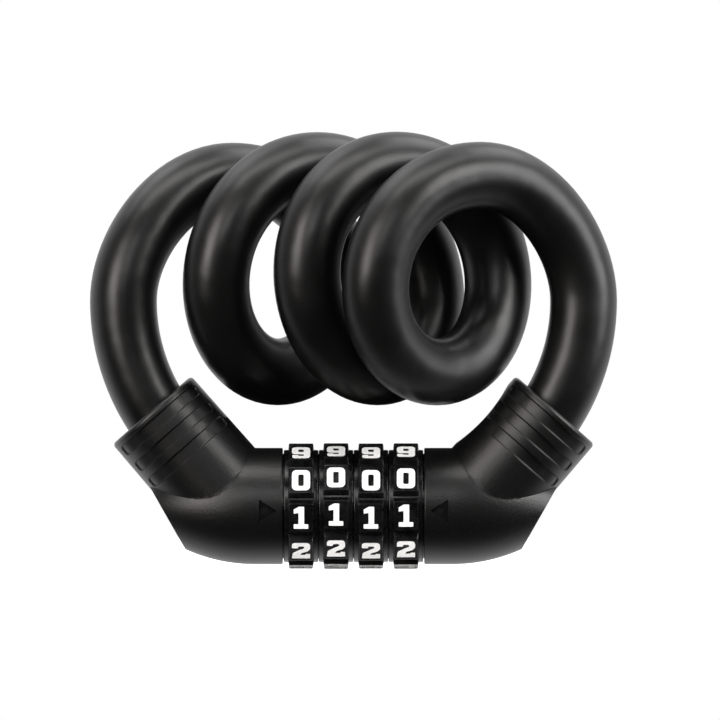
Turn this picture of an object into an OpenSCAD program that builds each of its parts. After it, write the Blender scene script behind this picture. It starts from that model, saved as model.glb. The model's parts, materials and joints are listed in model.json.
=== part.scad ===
// Coiled cable lock with four number dials, in millimetres, +Z up.
// The origin is the middle of the coil's bore, above the middle of the dials.
// The housings are mirror images, so their modules draw the left one.

/* [Cable] */
// Outer diameter of the vinyl sleeve
cable_d = 18; // [16:0.5:19]
// Diameter of the steel rope inside the sleeve
rope_d = 11; // [8:0.5:12]
// Bare rope that stands out of each end of the sleeve
rope_stub = 4.2; // [3:0.2:4.6]

/* [Coil] */
// Height of the coil's middle above the dials' axis
coil_rise = 63.9; // [62:0.1:70]
// Radius of a turn, up and down
coil_r = 27.8; // [26:0.1:28.5]
// Half the width of a turn
coil_sway = 21.6; // [20:0.1:23]
// Half the depth of a turn
coil_lean = 17.2; // [15:0.1:20]
// Step to the side from one turn to the next
coil_pitch = 21.4; // [20:0.1:23]
// Step to the front from one turn to the next
coil_step = 12; // [11:0.1:14]
// How far the coil sits to the right of the dials' middle
coil_shift = 1; // [-2:0.1:2]
// How far the lowest point of the middle turn is pushed to the right
middle_shift = 5.5; // [0:0.1:5.5]
// How much lower the two outer turns hang
end_drop = 2.8; // [0:0.1:5]
// Reach of each leg of the cable from the dials' middle
leg_reach = 61.9; // [60:0.1:65]

/* [Housing] */
// Diameter of the housing beside the dials
body_d = 31.3; // [30:0.1:34]
// Where the nose starts to curve in, from the dials' middle
nose_start = 26.6; // [24:0.2:28]
// Radius of the nose's curve
nose_curve_r = 45; // [40:1:60]
// Where the slanted end face crosses the dials' axis
end_cut_x = 51.8; // [50:0.2:54]
// Lean of the end face from upright
end_cut_angle = 29.6; // [24:0.4:34]
// Where the socket's axis meets the dials' axis
elbow_x = 31.8; // [31:0.1:34]
// Angle of the socket from upright
socket_angle = 41; // [38:0.5:43]
// Length of the socket from the elbow to its mouth
socket_l = 34.2; // [33.6:0.1:37]
// Diameter of the socket at the elbow
socket_d = 28.8; // [28:0.1:30]
// Diameter of the socket at its mouth
mouth_d = 28; // [27.4:0.1:30]
// Chamfer round the mouth
mouth_chamfer = 1; // [0.3:0.1:1]
// Depth of the hollow in the inner side of the right socket
waist_depth = 1.1; // [0.5:0.1:1.6]
// Radius of that hollow along the socket
waist_r = 44; // [38:1:60]
// Middle of that hollow, measured from the mouth
waist_place = 13.2; // [12.6:0.2:14]

/* [Grip slots] */
// Width of a grip slot
slot_w = 3.1; // [2:0.1:3.6]
// Distance from one slot to the next
slot_pitch = 5.6; // [4.6:0.1:6]
// Band between the mouth and the first slot
slot_first = 2; // [1.5:0.1:3]
// Depth of a slot
slot_depth = 0.9; // [0.3:0.1:1]
// How far each slot runs round the socket
slot_angle = 122; // [90:2:150]

/* [Arrow] */
// Length of the arrow that points at the dials
arrow_l = 4.8; // [3:0.2:5]
// Height of the arrow
arrow_h = 6.2; // [4:0.2:7]
// Depth of the arrow
arrow_depth = 0.6; // [0.2:0.1:0.8]
// Distance from the arrow's tip to the housing's face
arrow_gap = 1.6; // [1:0.2:3]
// How far the arrows sit below the front of the body
arrow_turn = 4.5; // [0:0.5:8]

/* [Dials] */
// Distance from one dial to the next
dial_pitch = 9.4; // [9.2:0.1:10]
// Gap between two dials
dial_gap = 0.1; // [0.06:0.02:0.2]
// Diameter of a dial between its pads
dial_d = 30.2; // [29:0.2:31]
// Chamfer on a dial's rims
dial_chamfer = 0.4; // [0.2:0.1:0.8]
// Distance across two opposite number pads
pads_d = 33; // [32.6:0.1:35]
// Width of a number pad along the axis
pad_w = 6.5; // [5:0.1:7]
// Height of a number pad round the dial
pad_h = 7.7; // [6:0.1:8]
// How much a pad widens towards the dial at its top and bottom
pad_draft = 0.7; // [0.2:0.1:0.9]
// How much a pad widens towards the dial on its left and right
pad_side_draft = 0.3; // [0.1:0.1:0.6]
// Outer diameter of the rings that screen the gaps beside the dials
screen_d = 28.2; // [27.8:0.1:28.6]
// Thickness of a screening ring
screen_t = 0.9; // [0.6:0.1:1]
// How far a screening ring stands out of its dial
screen_rise = 0.5; // [0.4:0.1:0.6]

/* [Lock works] */
// Diameter of the barrel that the dials turn on
barrel_d = 16; // [15.6:0.1:16.6]
// Diameter of the bolt
bolt_d = 11; // [10:0.1:11.4]
// Height of a bolt tooth above the barrel
tooth_rise = 1.8; // [1.4:0.1:2]
// Thickness of a bolt tooth
tooth_w = 2.4; // [2:0.1:2.8]
// Length of a bolt tooth
tooth_l = 2.4; // [2:0.1:2.6]
// Outer diameter of a code ring
ring_d = 22; // [21.8:0.1:23]
// Width of a code ring
ring_w = 5.4; // [5:0.1:5.6]
// Diameter of the pins across the bolt and the barrel
cross_pin_d = 2.4; // [2:0.1:2.6]

/* [Cable ends] */
// How deep in the mouth the crimped ferrule starts
ferrule_depth = 9; // [9:0.1:10]
// Wall of the ferrule round the sleeve
ferrule_wall = 0.95; // [0.8:0.05:1]
// Diameter of the part that is pressed on the bare rope
swage_d = 15; // [14:0.1:15.4]
// Diameter of the two pins that hold a ferrule
ferrule_pin_d = 2; // [1.6:0.1:2]

/* [Castings] */
// Diameter of a casting beside the dials
casting_d = 25.2; // [25:0.1:26]
// Diameter of a casting in the socket
casting_socket_d = 23; // [22.8:0.1:24.4]
// Rim of the cover over the casting at the mouth
lip = 3; // [2:0.1:4]

/* [Fits] */
// Gap between the dials' stack and each housing
face_gap = 0.2; // [0.1:0.05:0.3]
// Running fit of bolt and dials, on the radius
running_fit = 0.08; // [0.05:0.01:0.1]
// Fit of a pressed or moulded piece, on the radius
close_fit = 0.05; // [0.02:0.01:0.08]
// Gap between a screening ring and its groove
screen_gap = 0.15; // [0.1:0.05:0.2]
// Gap round the cable in the mouth
mouth_gap = 0.4; // [0.3:0.05:0.6]

/* [Hidden] */
$fn = 72;

vinyl = "#1c1c1d";
moulded_black = "#161616";
zinc = "#9b9da0";
steel = "#b9bcc0";
brass = "#b8963f";

eps = 0.01;         // how far a cutter stands past the face it opens
far = 100;          // longer than any piece of the lock works

// dials
dial_count = 4;
digits = 10;
digit_angle = 360 / digits;
dial_turn = [10.7, 7.7, 10.7, 8.7];   // how far each dial stands below the front
dial_w = dial_pitch - dial_gap;
stack_half = dial_count * dial_pitch / 2;
screen_groove = screen_rise - dial_gap + screen_gap;
face_x = stack_half + face_gap;
cover_screen_rise = screen_rise + face_x - stack_half - dial_gap / 2;
function dial_x(i) = (i - (dial_count + 1) / 2) * dial_pitch;

// lock works: each tooth stands to the left of the code ring that blocks it
barrel_r = barrel_d / 2;
bolt_r = bolt_d / 2;
tooth_r = barrel_r + tooth_rise;
ring_side = 0.15;                    // from a code ring to its dial's right face
ring_right = dial_w / 2 - ring_side;
ring_left = ring_right - ring_w;
tooth_x = -dial_w / 2 + (dial_w - ring_w) / 2;
slot_play = 0.1;                     // on each side of a tooth in the barrel
gate_play = 0.3;                     // on each side of a tooth in a code ring
slot_end = 0.4;                      // past the first tooth
bolt_tip_x = dial_x(1) + tooth_x - tooth_l / 2 - 2.8;
bolt_tip_gap = 0.3;
barrel_seat = 5.7;                   // how deep barrel and bolt sit in the castings
casting_x = face_x + 1.3;
seat_x = casting_x + barrel_seat;
cross_pin_x = seat_x - barrel_seat / 2 + 0.2;
cross_pin_l = casting_d - 1.2;
key_w = 2.4;                         // key between a code ring and its dial
key_rise = 1;
notch_r = 0.75;                      // the ten click notches in a code ring
notch_at = barrel_r - 0.1;

// retaining clip in its groove at the barrel's open end
clip_t = 0.8;
clip_x = stack_half - dial_gap / 2 + 0.05;
clip_in = barrel_r - 0.75;
clip_out = barrel_r + 1.2;
clip_open = 70;                      // degrees left open for the teeth
barrel_end_x = clip_x + clip_t + 0.4;
washer_t = casting_x - stack_half - 0.1;
washer_r = casting_d / 2 - 0.3;

// detent spring: a strip under the barrel with one finger for each dial
spring_w = 3;
spring_t = 0.4;
spring_floor = barrel_r - 0.8;
finger_r = 0.5;
finger_l = 1.8;
finger_at = barrel_r - 0.15;

// cable ends
cable_r = cable_d / 2;
rope_r = rope_d / 2;
ferrule_r = cable_r + close_fit + ferrule_wall;
swage_r = swage_d / 2;
swage_end = 1;                       // of metal past the rope's end
shoulder_t = 1;                      // of metal behind the sleeve's end
shoulder_depth = ferrule_depth + cable_d;
ferrule_end_depth = shoulder_depth + rope_stub + swage_end;
ferrule_pin_depth = shoulder_depth + rope_stub * 0.6;
ferrule_pin_off = swage_r + close_fit + ferrule_pin_d / 2;
ferrule_pin_l = 2 * sqrt(pow(casting_socket_d / 2, 2) - pow(ferrule_pin_off, 2)) - 0.6;
crimp_w = 1.2;
crimp_depth = 0.3;

// the socket's mouth, and the arc that carries the cable into it
mouth = [-elbow_x - socket_l * sin(socket_angle), socket_l * cos(socket_angle)];
corner_z = mouth[1] + (leg_reach + mouth[0]) / tan(socket_angle);
arc_side = norm([leg_reach + mouth[0], mouth[1] - corner_z]) + ferrule_depth;
arc_r = arc_side / tan(socket_angle / 2);
leg_top = corner_z + arc_side;
cable_slant = asin(ferrule_depth / arc_r);
cable_off = arc_r * (1 - cos(cable_slant));
mouth_bore_r = cable_r / cos(cable_slant) + cable_off + mouth_gap;

// ---- the cable's route, seen from the dials' axis ----
end_turn = 1.75;                     // turns from the middle to each leg
ease_from = 1.5;                     // where the side step starts to die out
flare_from = 1.38;                   // where the outer turns start to open
rings_per_turn = 24;
sides = 12;
arc_rings = 7;
straight_rings = 2;
gap_rings = 3;                       // points per ring when the gap is measured

function smooth(t) = let(c = min(1, max(0, t))) c * c * (3 - 2 * c);
function turned(u) =
  abs(u) <= ease_from ? u :
  sign(u) * (abs(u) - pow(abs(u) - ease_from, 2) / (2 * (end_turn - ease_from)));
function flare(u) = smooth((abs(u) - flare_from) / (end_turn - flare_from));
function push(u) = abs(u) < 0.5 ? middle_shift * (1 + cos(360 * u)) / 2 : 0;
function coil_point(u) = [
  coil_shift * (1 - flare(u)) + coil_pitch * turned(u) + push(u)
    - coil_sway * sin(360 * u)
    + sign(u) * flare(u) * (leg_reach - coil_pitch * turned(end_turn) - coil_sway),
  -coil_step * turned(u) - coil_lean * sin(360 * u)
    + sign(u) * flare(u) * (coil_step * turned(end_turn) - coil_lean),
  coil_rise - coil_r * cos(360 * u) - end_drop * smooth((abs(u) - 1) / 0.5)
    - (coil_rise - end_drop - leg_top) * smooth((abs(u) - ease_from) / (end_turn - ease_from))
];
function arc_point(side, a) =
  [side * (leg_reach - arc_r * (1 - cos(a))), 0, leg_top - arc_r * sin(a)];
function straight_point(side, s) =
  arc_point(side, socket_angle) + s * [-side * sin(socket_angle), 0, -cos(socket_angle)];
function coil_points(per_turn) =
  [for (i = [0 : 2 * end_turn * per_turn]) coil_point(-end_turn + i / per_turn)];
function leg_points(side, past) = concat(
  [for (k = [1 : arc_rings]) arc_point(side, k * socket_angle / arc_rings)],
  [for (k = [1 : straight_rings]) straight_point(side, k * cable_d / straight_rings)],
  past > 0 ? [straight_point(side, cable_d + past)] : []
);
function reversed(list) = [for (i = [len(list) - 1 : -1 : 0]) list[i]];
function route(past) = concat(
  reversed(leg_points(-1, past)),
  coil_points(rings_per_turn),
  leg_points(1, past)
);

// least gap between two stretches of the coil, over three diameters apart on it
gap_points = coil_points(rings_per_turn * gap_rings);
gap_skip = ceil(3 * cable_d / (2 * PI * coil_r) * rings_per_turn * gap_rings);
least_gap = min([
  for (i = [0 : gap_rings : len(gap_points) - gap_skip - 1])
    min([for (j = [i + gap_skip : len(gap_points) - 1])
      norm(gap_points[i] - gap_points[j])])
]) - cable_d;
echo(least_coil_gap = least_gap);

// ---- a tube along a route; the bore is left out where it is zero ----
function unit(v) = v / norm(v);
coil_axis = unit([coil_pitch, -coil_step, 0]);
function heading(pts, i) =
  unit(pts[min(i + 1, len(pts) - 1)] - pts[max(i - 1, 0)]);
function ring(pts, i, r) =
  let(t = heading(pts, i), n = unit(coil_axis - (coil_axis * t) * t), b = cross(t, n))
  [for (k = [0 : sides - 1])
    pts[i] + r * (cos(360 * (k + 0.5) / sides) * n + sin(360 * (k + 0.5) / sides) * b)];
function skin(first, rings) = [
  for (i = [0 : rings - 2], k = [0 : sides - 1])
    let(a = first + i * sides + k, b = first + i * sides + (k + 1) % sides)
    each [[a, a + sides, b], [b, a + sides, b + sides]]
];
function disc(first) = [for (k = [1 : sides - 2]) [first, first + k, first + k + 1]];
function washer(outer, inner) = [
  for (k = [0 : sides - 1]) let(n = (k + 1) % sides)
    each [[outer + k, outer + n, inner + k], [inner + k, outer + n, inner + n]]
];
function flipped(faces) = [for (f = faces) [f[0], f[2], f[1]]];

module rod(pts, r) {
  rings = len(pts);
  last = (rings - 1) * sides;
  polyhedron(
    points = [for (i = [0 : rings - 1]) each ring(pts, i, r)],
    faces = concat(skin(0, rings), disc(0), flipped(disc(last)))
  );
}

module hose(pts, outer_r, inner_r) {
  rings = len(pts);
  bore = rings * sides;
  last = (rings - 1) * sides;
  polyhedron(
    points = concat(
      [for (i = [0 : rings - 1]) each ring(pts, i, outer_r)],
      [for (i = [0 : rings - 1]) each ring(pts, i, inner_r)]
    ),
    faces = concat(
      skin(0, rings), flipped(skin(bore, rings)),
      washer(0, bore), flipped(washer(last, bore + last))
    )
  );
}

// ---- frames ----
// children stand on the dials' axis instead of the origin
module on_dial_axis() translate([0, 0, -coil_rise]) children();
// +Z runs out along the dials' axis to the left, +X is up
module outward() rotate([0, -90, 0]) children();
// +Z runs out along the dials' axis to the right, +X is down
module rightward() rotate([0, 90, 0]) children();
// +Z runs out along the left socket from the elbow, +X to its inner side
module in_socket() translate([-elbow_x, 0, 0]) rotate([0, -socket_angle, 0]) children();
module to_right() mirror([1, 0, 0]) children();
// a round bar along the depth at one place of the upright middle plane
module bar(d, l) rotate([90, 0, 0]) cylinder(d = d, h = l, center = true);

// ---- housings ----
module body_form() {
  difference() {
    outward() rotate_extrude() {
      translate([0, face_x]) square([body_d / 2, nose_start - face_x]);
      intersection() {
        translate([body_d / 2 - nose_curve_r, nose_start]) circle(r = nose_curve_r);
        translate([0, nose_start - eps]) square([body_d, nose_curve_r]);
      }
    }
    outward()
      translate([0, 0, end_cut_x]) rotate([0, -end_cut_angle, 0])
        translate([-far / 2, -far / 2, 0]) cube([far, far, far / 2]);
  }
}

module socket_form() {
  in_socket() rotate_extrude()
    polygon([
      [0, 0], [socket_d / 2, 0], [mouth_d / 2, socket_l - mouth_chamfer],
      [mouth_d / 2 - mouth_chamfer, socket_l], [0, socket_l]
    ]);
}

// one slot on the front of the socket, with round ends
module grip_slot(z) {
  floor_r = mouth_d / 2 - slot_depth;
  translate([0, 0, z]) rotate([0, 0, -90 - slot_angle / 2]) {
    rotate_extrude(angle = slot_angle)
      translate([floor_r, -slot_w / 2]) square([socket_d / 2, slot_w]);
    for (a = [0, slot_angle])
      rotate([0, 0, a]) rotate([0, 90, 0])
        translate([0, 0, floor_r]) cylinder(d = slot_w, h = socket_d / 2);
  }
}

module grip_slots() {
  first_z = socket_l - slot_first - slot_w / 2;
  in_socket()
    for (side = [0, 180], k = [0 : 2])
      rotate([0, 0, side]) grip_slot(first_z - k * slot_pitch);
}

module arrow() {
  tip_x = -face_x - arrow_gap;
  rotate([arrow_turn, 0, 0])
    translate([0, arrow_depth - body_d / 2, 0]) rotate([90, 0, 0])
      linear_extrude(far / 10)
        polygon([
          [tip_x, 0], [tip_x - arrow_l, arrow_h / 2], [tip_x - arrow_l, -arrow_h / 2]
        ]);
}

// two cylinders that meet in a mitre at the elbow
module casting_form(start, grow) {
  difference() {
    outward() translate([0, 0, start])
      cylinder(d = casting_d + 2 * grow, h = elbow_x - start + casting_d / 2);
    beyond_mitre(0);
  }
  intersection() {
    in_socket() translate([0, 0, -casting_d / 2])
      cylinder(d = casting_socket_d + 2 * grow, h = casting_d / 2 + socket_l - lip + grow);
    beyond_mitre(-eps);
  }
}

module beyond_mitre(shift) {
  translate([-elbow_x, 0, 0]) rotate([0, -(90 + socket_angle) / 2, 0])
    translate([-far / 2, -far / 2, shift]) cube(far);
}

// the cutter for the hollow along the inner side of a socket
module waist() {
  centre_x = mouth_d / 2 + waist_r - waist_depth;
  reach = sqrt(pow(waist_r, 2) - pow(centre_x - socket_d / 2, 2));
  in_socket() translate([0, 0, socket_l - waist_place]) intersection() {
    translate([centre_x, 0, 0]) bar(2 * waist_r, far);
    translate([0, -far / 2, -reach]) cube([socket_d, far, 2 * reach]);
  }
}

module cover() {
  difference() {
    union() {
      body_form();
      socket_form();
    }
    casting_form(face_x - eps, close_fit);
    in_socket() translate([0, 0, socket_l - lip - eps])
      cylinder(r1 = mouth_bore_r - cable_off / 2, r2 = mouth_bore_r, h = lip + 2 * eps);
    grip_slots();
    arrow();
  }
}

module ferrule_pocket() {
  shoulder = shoulder_depth + shoulder_t;
  in_socket() {
    translate([0, 0, socket_l - shoulder])
      cylinder(r = ferrule_r + close_fit, h = shoulder);
    translate([0, 0, socket_l - ferrule_end_depth])
      cylinder(r = swage_r + close_fit, h = ferrule_end_depth - shoulder + eps);
  }
}

// the two pin places, one on each side of the ferrule's groove
module at_ferrule_pins() {
  in_socket()
    for (side = [-1, 1])
      translate([side * (swage_r + close_fit), 0, socket_l - ferrule_pin_depth])
        children();
}

module casting(bore_d) {
  difference() {
    casting_form(casting_x, 0);
    ferrule_pocket();
    outward() translate([0, 0, casting_x - eps])
      cylinder(d = bore_d + 2 * close_fit, h = barrel_seat + eps);
    translate([-cross_pin_x, 0, 0]) bar(cross_pin_d + 2 * close_fit, far / 2);
    at_ferrule_pins() bar(ferrule_pin_d + 2 * close_fit, ferrule_pin_l + 2 * close_fit);
  }
}

module ferrule() {
  shoulder = shoulder_depth + shoulder_t;
  in_socket() difference() {
    union() {
      translate([0, 0, socket_l - shoulder])
        cylinder(r = ferrule_r, h = cable_d + shoulder_t);
      translate([0, 0, socket_l - ferrule_end_depth + close_fit])
        cylinder(r = swage_r, h = rope_stub + swage_end - shoulder_t);
    }
    translate([0, 0, socket_l - shoulder_depth])
      cylinder(r = cable_r + close_fit, h = cable_d + eps);
    translate([0, 0, socket_l - shoulder_depth - rope_stub - close_fit])
      cylinder(r = rope_r + close_fit, h = cable_d);
    for (k = [1 : 3])
      translate([0, 0, socket_l - shoulder_depth + k * cable_d / 4])
        rotate_extrude() translate([ferrule_r - crimp_depth, -crimp_w / 2])
          square([crimp_depth + 1, crimp_w]);
    translate([0, 0, socket_l - ferrule_pin_depth])
      rotate_extrude()
        translate([swage_r - ferrule_pin_d / 2, -ferrule_pin_d / 2 - close_fit])
          square([ferrule_pin_d, ferrule_pin_d + 2 * close_fit]);
  }
}

module ferrule_pins() at_ferrule_pins() bar(ferrule_pin_d, ferrule_pin_l);

// ---- pieces ----
module left_cover() {
  color(moulded_black) on_dial_axis() {
    cover();
    screen_ring(-face_x - eps, cover_screen_rise + eps, 0);
  }
}

module right_cover() {
  color(moulded_black) on_dial_axis() difference() {
    to_right() difference() {
      cover();
      waist();
    }
    screen_ring(face_x - eps, screen_groove + eps, screen_gap);
  }
}

module left_casting() { color(zinc) on_dial_axis() casting(barrel_d); }
module right_casting() { color(zinc) on_dial_axis() to_right() casting(bolt_d); }
module left_ferrule() { color(steel) on_dial_axis() ferrule(); }
module right_ferrule() { color(steel) on_dial_axis() to_right() ferrule(); }
module left_ferrule_pins() { color(steel) on_dial_axis() ferrule_pins(); }
module right_ferrule_pins() { color(steel) on_dial_axis() to_right() ferrule_pins(); }

module cable_sleeve() {
  color(vinyl) on_dial_axis() hose(route(0), cable_r, rope_r + close_fit);
}

module cable_rope() {
  color(steel) on_dial_axis() rod(route(rope_stub), rope_r);
}

module barrel() {
  slot_x = dial_x(1) + tooth_x - tooth_l / 2 - slot_end;
  color(brass) on_dial_axis() difference() {
    translate([-seat_x, 0, 0]) rightward() cylinder(d = barrel_d, h = seat_x + barrel_end_x);
    translate([bolt_tip_x - bolt_tip_gap, 0, 0]) rightward()
      cylinder(r = bolt_r + running_fit, h = far);
    translate([slot_x, -tooth_w / 2 - slot_play, 0])
      cube([far, tooth_w + 2 * slot_play, far]);
    translate([clip_x - close_fit, 0, 0]) rightward() difference() {
      cylinder(r = far / 2, h = clip_t + 2 * close_fit);
      cylinder(r = clip_in - close_fit, h = far, center = true);
    }
    translate([dial_x(1) - dial_w / 2, -spring_w / 2 - close_fit, -far - spring_floor])
      cube([dial_count * dial_pitch - dial_gap - clip_t, spring_w + 2 * close_fit, far]);
    translate([-cross_pin_x, 0, 0]) bar(cross_pin_d + 2 * close_fit, far);
  }
}

module barrel_pin() {
  color(steel) on_dial_axis() translate([-cross_pin_x, 0, 0]) bar(cross_pin_d, cross_pin_l);
}

module thrust_washer() {
  color(steel) on_dial_axis() translate([-casting_x + close_fit, 0, 0]) rightward()
    difference() {
      cylinder(r = washer_r, h = washer_t);
      translate([0, 0, -eps]) cylinder(r = barrel_r + close_fit, h = washer_t + 2 * eps);
    }
}

module retaining_clip() {
  color(steel) on_dial_axis() translate([clip_x, 0, 0]) rightward()
    rotate([0, 0, 180 + clip_open / 2])
      rotate_extrude(angle = 360 - clip_open)
        translate([clip_in, 0]) square([clip_out - clip_in, clip_t]);
}

module detent_spring() {
  first_x = dial_x(1) + ring_left - 1;
  last_x = dial_x(dial_count) + ring_right - 1;
  color(steel) on_dial_axis() {
    translate([first_x, -spring_w / 2, -spring_floor - spring_t - close_fit])
      cube([last_x - first_x, spring_w, spring_t]);
    for (i = [1 : dial_count])
      translate([dial_x(i) + (ring_left + ring_right) / 2 - finger_l / 2, 0, -finger_at])
        rightward() cylinder(r = finger_r, h = finger_l);
  }
}

module bolt() {
  tip = 1;
  color(steel) on_dial_axis() difference() {
    union() {
      translate([bolt_tip_x, 0, 0]) rightward() {
        cylinder(r1 = bolt_r - tip, r2 = bolt_r, h = tip);
        translate([0, 0, tip]) cylinder(r = bolt_r, h = seat_x - bolt_tip_x - tip - close_fit);
      }
      for (i = [1 : dial_count])
        translate([dial_x(i) + tooth_x - tooth_l / 2, -tooth_w / 2, 0])
          cube([tooth_l, tooth_w, tooth_r]);
    }
    translate([cross_pin_x, 0, 0]) bar(cross_pin_d + 2 * close_fit, far);
  }
}

module bolt_pin() {
  color(steel) on_dial_axis() translate([cross_pin_x, 0, 0]) bar(cross_pin_d, cross_pin_l);
}

// one number pad, standing up from the dial along +Z
module pad() {
  foot = dial_d / 2 - 1;
  top = pads_d / 2;
  intersection() {
    rotate([90, 0, 0]) linear_extrude(far, center = true)
      polygon([
        [-pad_w / 2 - pad_side_draft, foot], [pad_w / 2 + pad_side_draft, foot],
        [pad_w / 2, top], [-pad_w / 2, top]
      ]);
    rotate([90, 0, 90]) linear_extrude(far, center = true)
      polygon([
        [-pad_h / 2 - pad_draft, foot], [pad_h / 2 + pad_draft, foot],
        [pad_h / 2, top], [-pad_h / 2, top]
      ]);
  }
}

// a ring that screens a gap, or its groove, from x to the right
module screen_ring(x, rise, play) {
  translate([x, 0, 0]) rightward() rotate_extrude()
    translate([screen_d / 2 - screen_t - play, 0]) square([screen_t + 2 * play, rise]);
}

module dial(i) {
  bore_r = ring_d / 2 + close_fit;
  color(moulded_black) on_dial_axis() translate([dial_x(i), 0, 0]) difference() {
    union() {
      screen_ring(dial_w / 2 - eps, screen_rise + eps, 0);
      translate([-dial_w / 2, 0, 0]) rightward() rotate_extrude()
        polygon([
          [bore_r, 0], [dial_d / 2 - dial_chamfer, 0], [dial_d / 2, dial_chamfer],
          [dial_d / 2, dial_w - dial_chamfer], [dial_d / 2 - dial_chamfer, dial_w],
          [bore_r, dial_w]
        ]);
      for (k = [0 : digits - 1])
        rotate([90 + dial_turn[i - 1] + k * digit_angle, 0, 0]) pad();
    }
    translate([ring_left - close_fit, -key_w / 2 - close_fit, -bore_r - key_rise - close_fit])
      cube([far, key_w + 2 * close_fit, bore_r]);
    screen_ring(-dial_w / 2 - eps, screen_groove + eps, screen_gap);
  }
}

module code_ring(i) {
  color(brass) on_dial_axis() translate([dial_x(i) + ring_left, 0, 0]) difference() {
    union() {
      rightward() cylinder(d = ring_d, h = ring_w);
      translate([0, -key_w / 2, -ring_d / 2 - key_rise])
        cube([ring_w, key_w, ring_d / 2]);
    }
    translate([-eps, 0, 0]) rightward()
      cylinder(r = barrel_r + running_fit, h = ring_w + 2 * eps);
    translate([-eps, -tooth_w / 2 - gate_play, 0])
      cube([ring_w + 2 * eps, tooth_w + 2 * gate_play, tooth_r + gate_play]);
    for (k = [0 : digits - 1])
      rotate([k * digit_angle, 0, 0]) translate([-eps, 0, notch_at]) rightward()
        cylinder(r = notch_r, h = ring_w + 2 * eps);
  }
}

module dial_1() { dial(1); }
module dial_2() { dial(2); }
module dial_3() { dial(3); }
module dial_4() { dial(4); }
module code_ring_1() { code_ring(1); }
module code_ring_2() { code_ring(2); }
module code_ring_3() { code_ring(3); }
module code_ring_4() { code_ring(4); }

left_cover();
right_cover();
left_casting();
right_casting();
cable_sleeve();
cable_rope();
left_ferrule();
right_ferrule();
left_ferrule_pins();
right_ferrule_pins();
barrel();
barrel_pin();
thrust_washer();
retaining_clip();
detent_spring();
bolt();
bolt_pin();
dial_1();
dial_2();
dial_3();
dial_4();
code_ring_1();
code_ring_2();
code_ring_3();
code_ring_4();
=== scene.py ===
import json
import math

import bmesh
import bpy
import numpy as np
from mathutils import Matrix, Vector
from mathutils.kdtree import KDTree

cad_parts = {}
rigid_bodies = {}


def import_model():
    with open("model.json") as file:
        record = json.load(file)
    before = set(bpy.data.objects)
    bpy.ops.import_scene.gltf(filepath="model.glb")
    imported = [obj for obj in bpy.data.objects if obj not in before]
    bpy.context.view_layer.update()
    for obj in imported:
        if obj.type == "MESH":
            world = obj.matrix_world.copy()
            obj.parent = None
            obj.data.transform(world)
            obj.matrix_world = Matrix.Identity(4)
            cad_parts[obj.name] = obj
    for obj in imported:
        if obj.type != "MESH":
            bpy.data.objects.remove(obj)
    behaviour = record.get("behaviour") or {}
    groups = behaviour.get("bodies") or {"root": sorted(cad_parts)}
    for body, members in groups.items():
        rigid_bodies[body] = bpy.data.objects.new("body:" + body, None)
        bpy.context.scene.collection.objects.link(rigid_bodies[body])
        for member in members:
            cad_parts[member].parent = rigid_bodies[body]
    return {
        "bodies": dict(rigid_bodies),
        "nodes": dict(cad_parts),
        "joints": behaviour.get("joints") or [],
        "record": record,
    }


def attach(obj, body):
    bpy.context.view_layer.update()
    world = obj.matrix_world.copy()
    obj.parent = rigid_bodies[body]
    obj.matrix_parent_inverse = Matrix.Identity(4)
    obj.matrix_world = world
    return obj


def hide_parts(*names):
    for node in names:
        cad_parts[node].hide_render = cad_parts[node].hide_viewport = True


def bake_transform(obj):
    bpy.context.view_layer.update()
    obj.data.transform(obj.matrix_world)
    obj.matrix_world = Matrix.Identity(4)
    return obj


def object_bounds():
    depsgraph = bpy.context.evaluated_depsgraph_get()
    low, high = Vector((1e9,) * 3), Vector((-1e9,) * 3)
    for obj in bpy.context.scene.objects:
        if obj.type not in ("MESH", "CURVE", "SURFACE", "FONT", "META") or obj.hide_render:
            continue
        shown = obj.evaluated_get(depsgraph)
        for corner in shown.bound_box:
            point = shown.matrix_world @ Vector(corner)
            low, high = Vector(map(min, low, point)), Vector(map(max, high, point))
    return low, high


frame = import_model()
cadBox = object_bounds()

mm = 0.001
scene = bpy.context.scene
scene.view_settings.view_transform = "Standard"

# what more than one piece needs: the dials' axis, the elbows, the slant of the sockets and the rings that
# screen the gaps beside the dials
lock = {
    "axisHeight": -63.9,
    "elbowX": 31.8,
    "socketAngle": 41,
    "socketLength": 34.2,
    "faceX": 19.0,
    "dialPitch": 9.4,
    "dialCount": 4,
    "screenRadii": (13.2, 14.1),
    "screenGap": 0.15,
    "screenSides": 96,
    "grooveDepth": 0.55,
}


def smooth(t):
    t = min(1, max(0, t))
    return t * t * (3 - 2 * t)


def hexColor(code):
    # sRGB hex to the linear colour that the shaders want
    parts = [int(code[i:i + 2], 16) / 255 for i in (1, 3, 5)]
    return tuple(c / 12.92 if c < 0.04045 else ((c + 0.055) / 1.055) ** 2.4 for c in parts) + (1,)


# the camera's distance and the middle of its view; the width is what it sees there, in mm
camera = {"distance": 8.0, "middleX": 1.75, "middleZ": -24.6, "width": 193.7}


def addCamera(settings):
    data = bpy.data.cameras.new("studioCamera")
    data.sensor_width = 36
    data.lens = 36 * settings["distance"] / (settings["width"] * mm)
    data.clip_end = 50
    camObject = bpy.data.objects.new("studioCamera", data)
    camObject.location = (settings["middleX"] * mm, -settings["distance"], settings["middleZ"] * mm)
    camObject.rotation_euler = (math.radians(90), 0, 0)
    scene.collection.objects.link(camObject)
    scene.camera = camObject


addCamera(camera)
print("camera placed")


def placed(name, bm, body):
    # turns a finished bmesh into a piece that rides on one body
    mesh = bpy.data.meshes.new(name)
    bm.to_mesh(mesh)
    bm.free()
    piece = bpy.data.objects.new(name, mesh)
    scene.collection.objects.link(piece)
    if body:
        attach(piece, body)
    return piece


def smoothShade(piece, angle=30):
    piece.data.shade_smooth()
    piece.data.set_sharp_from_angle(angle=math.radians(angle))


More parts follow.
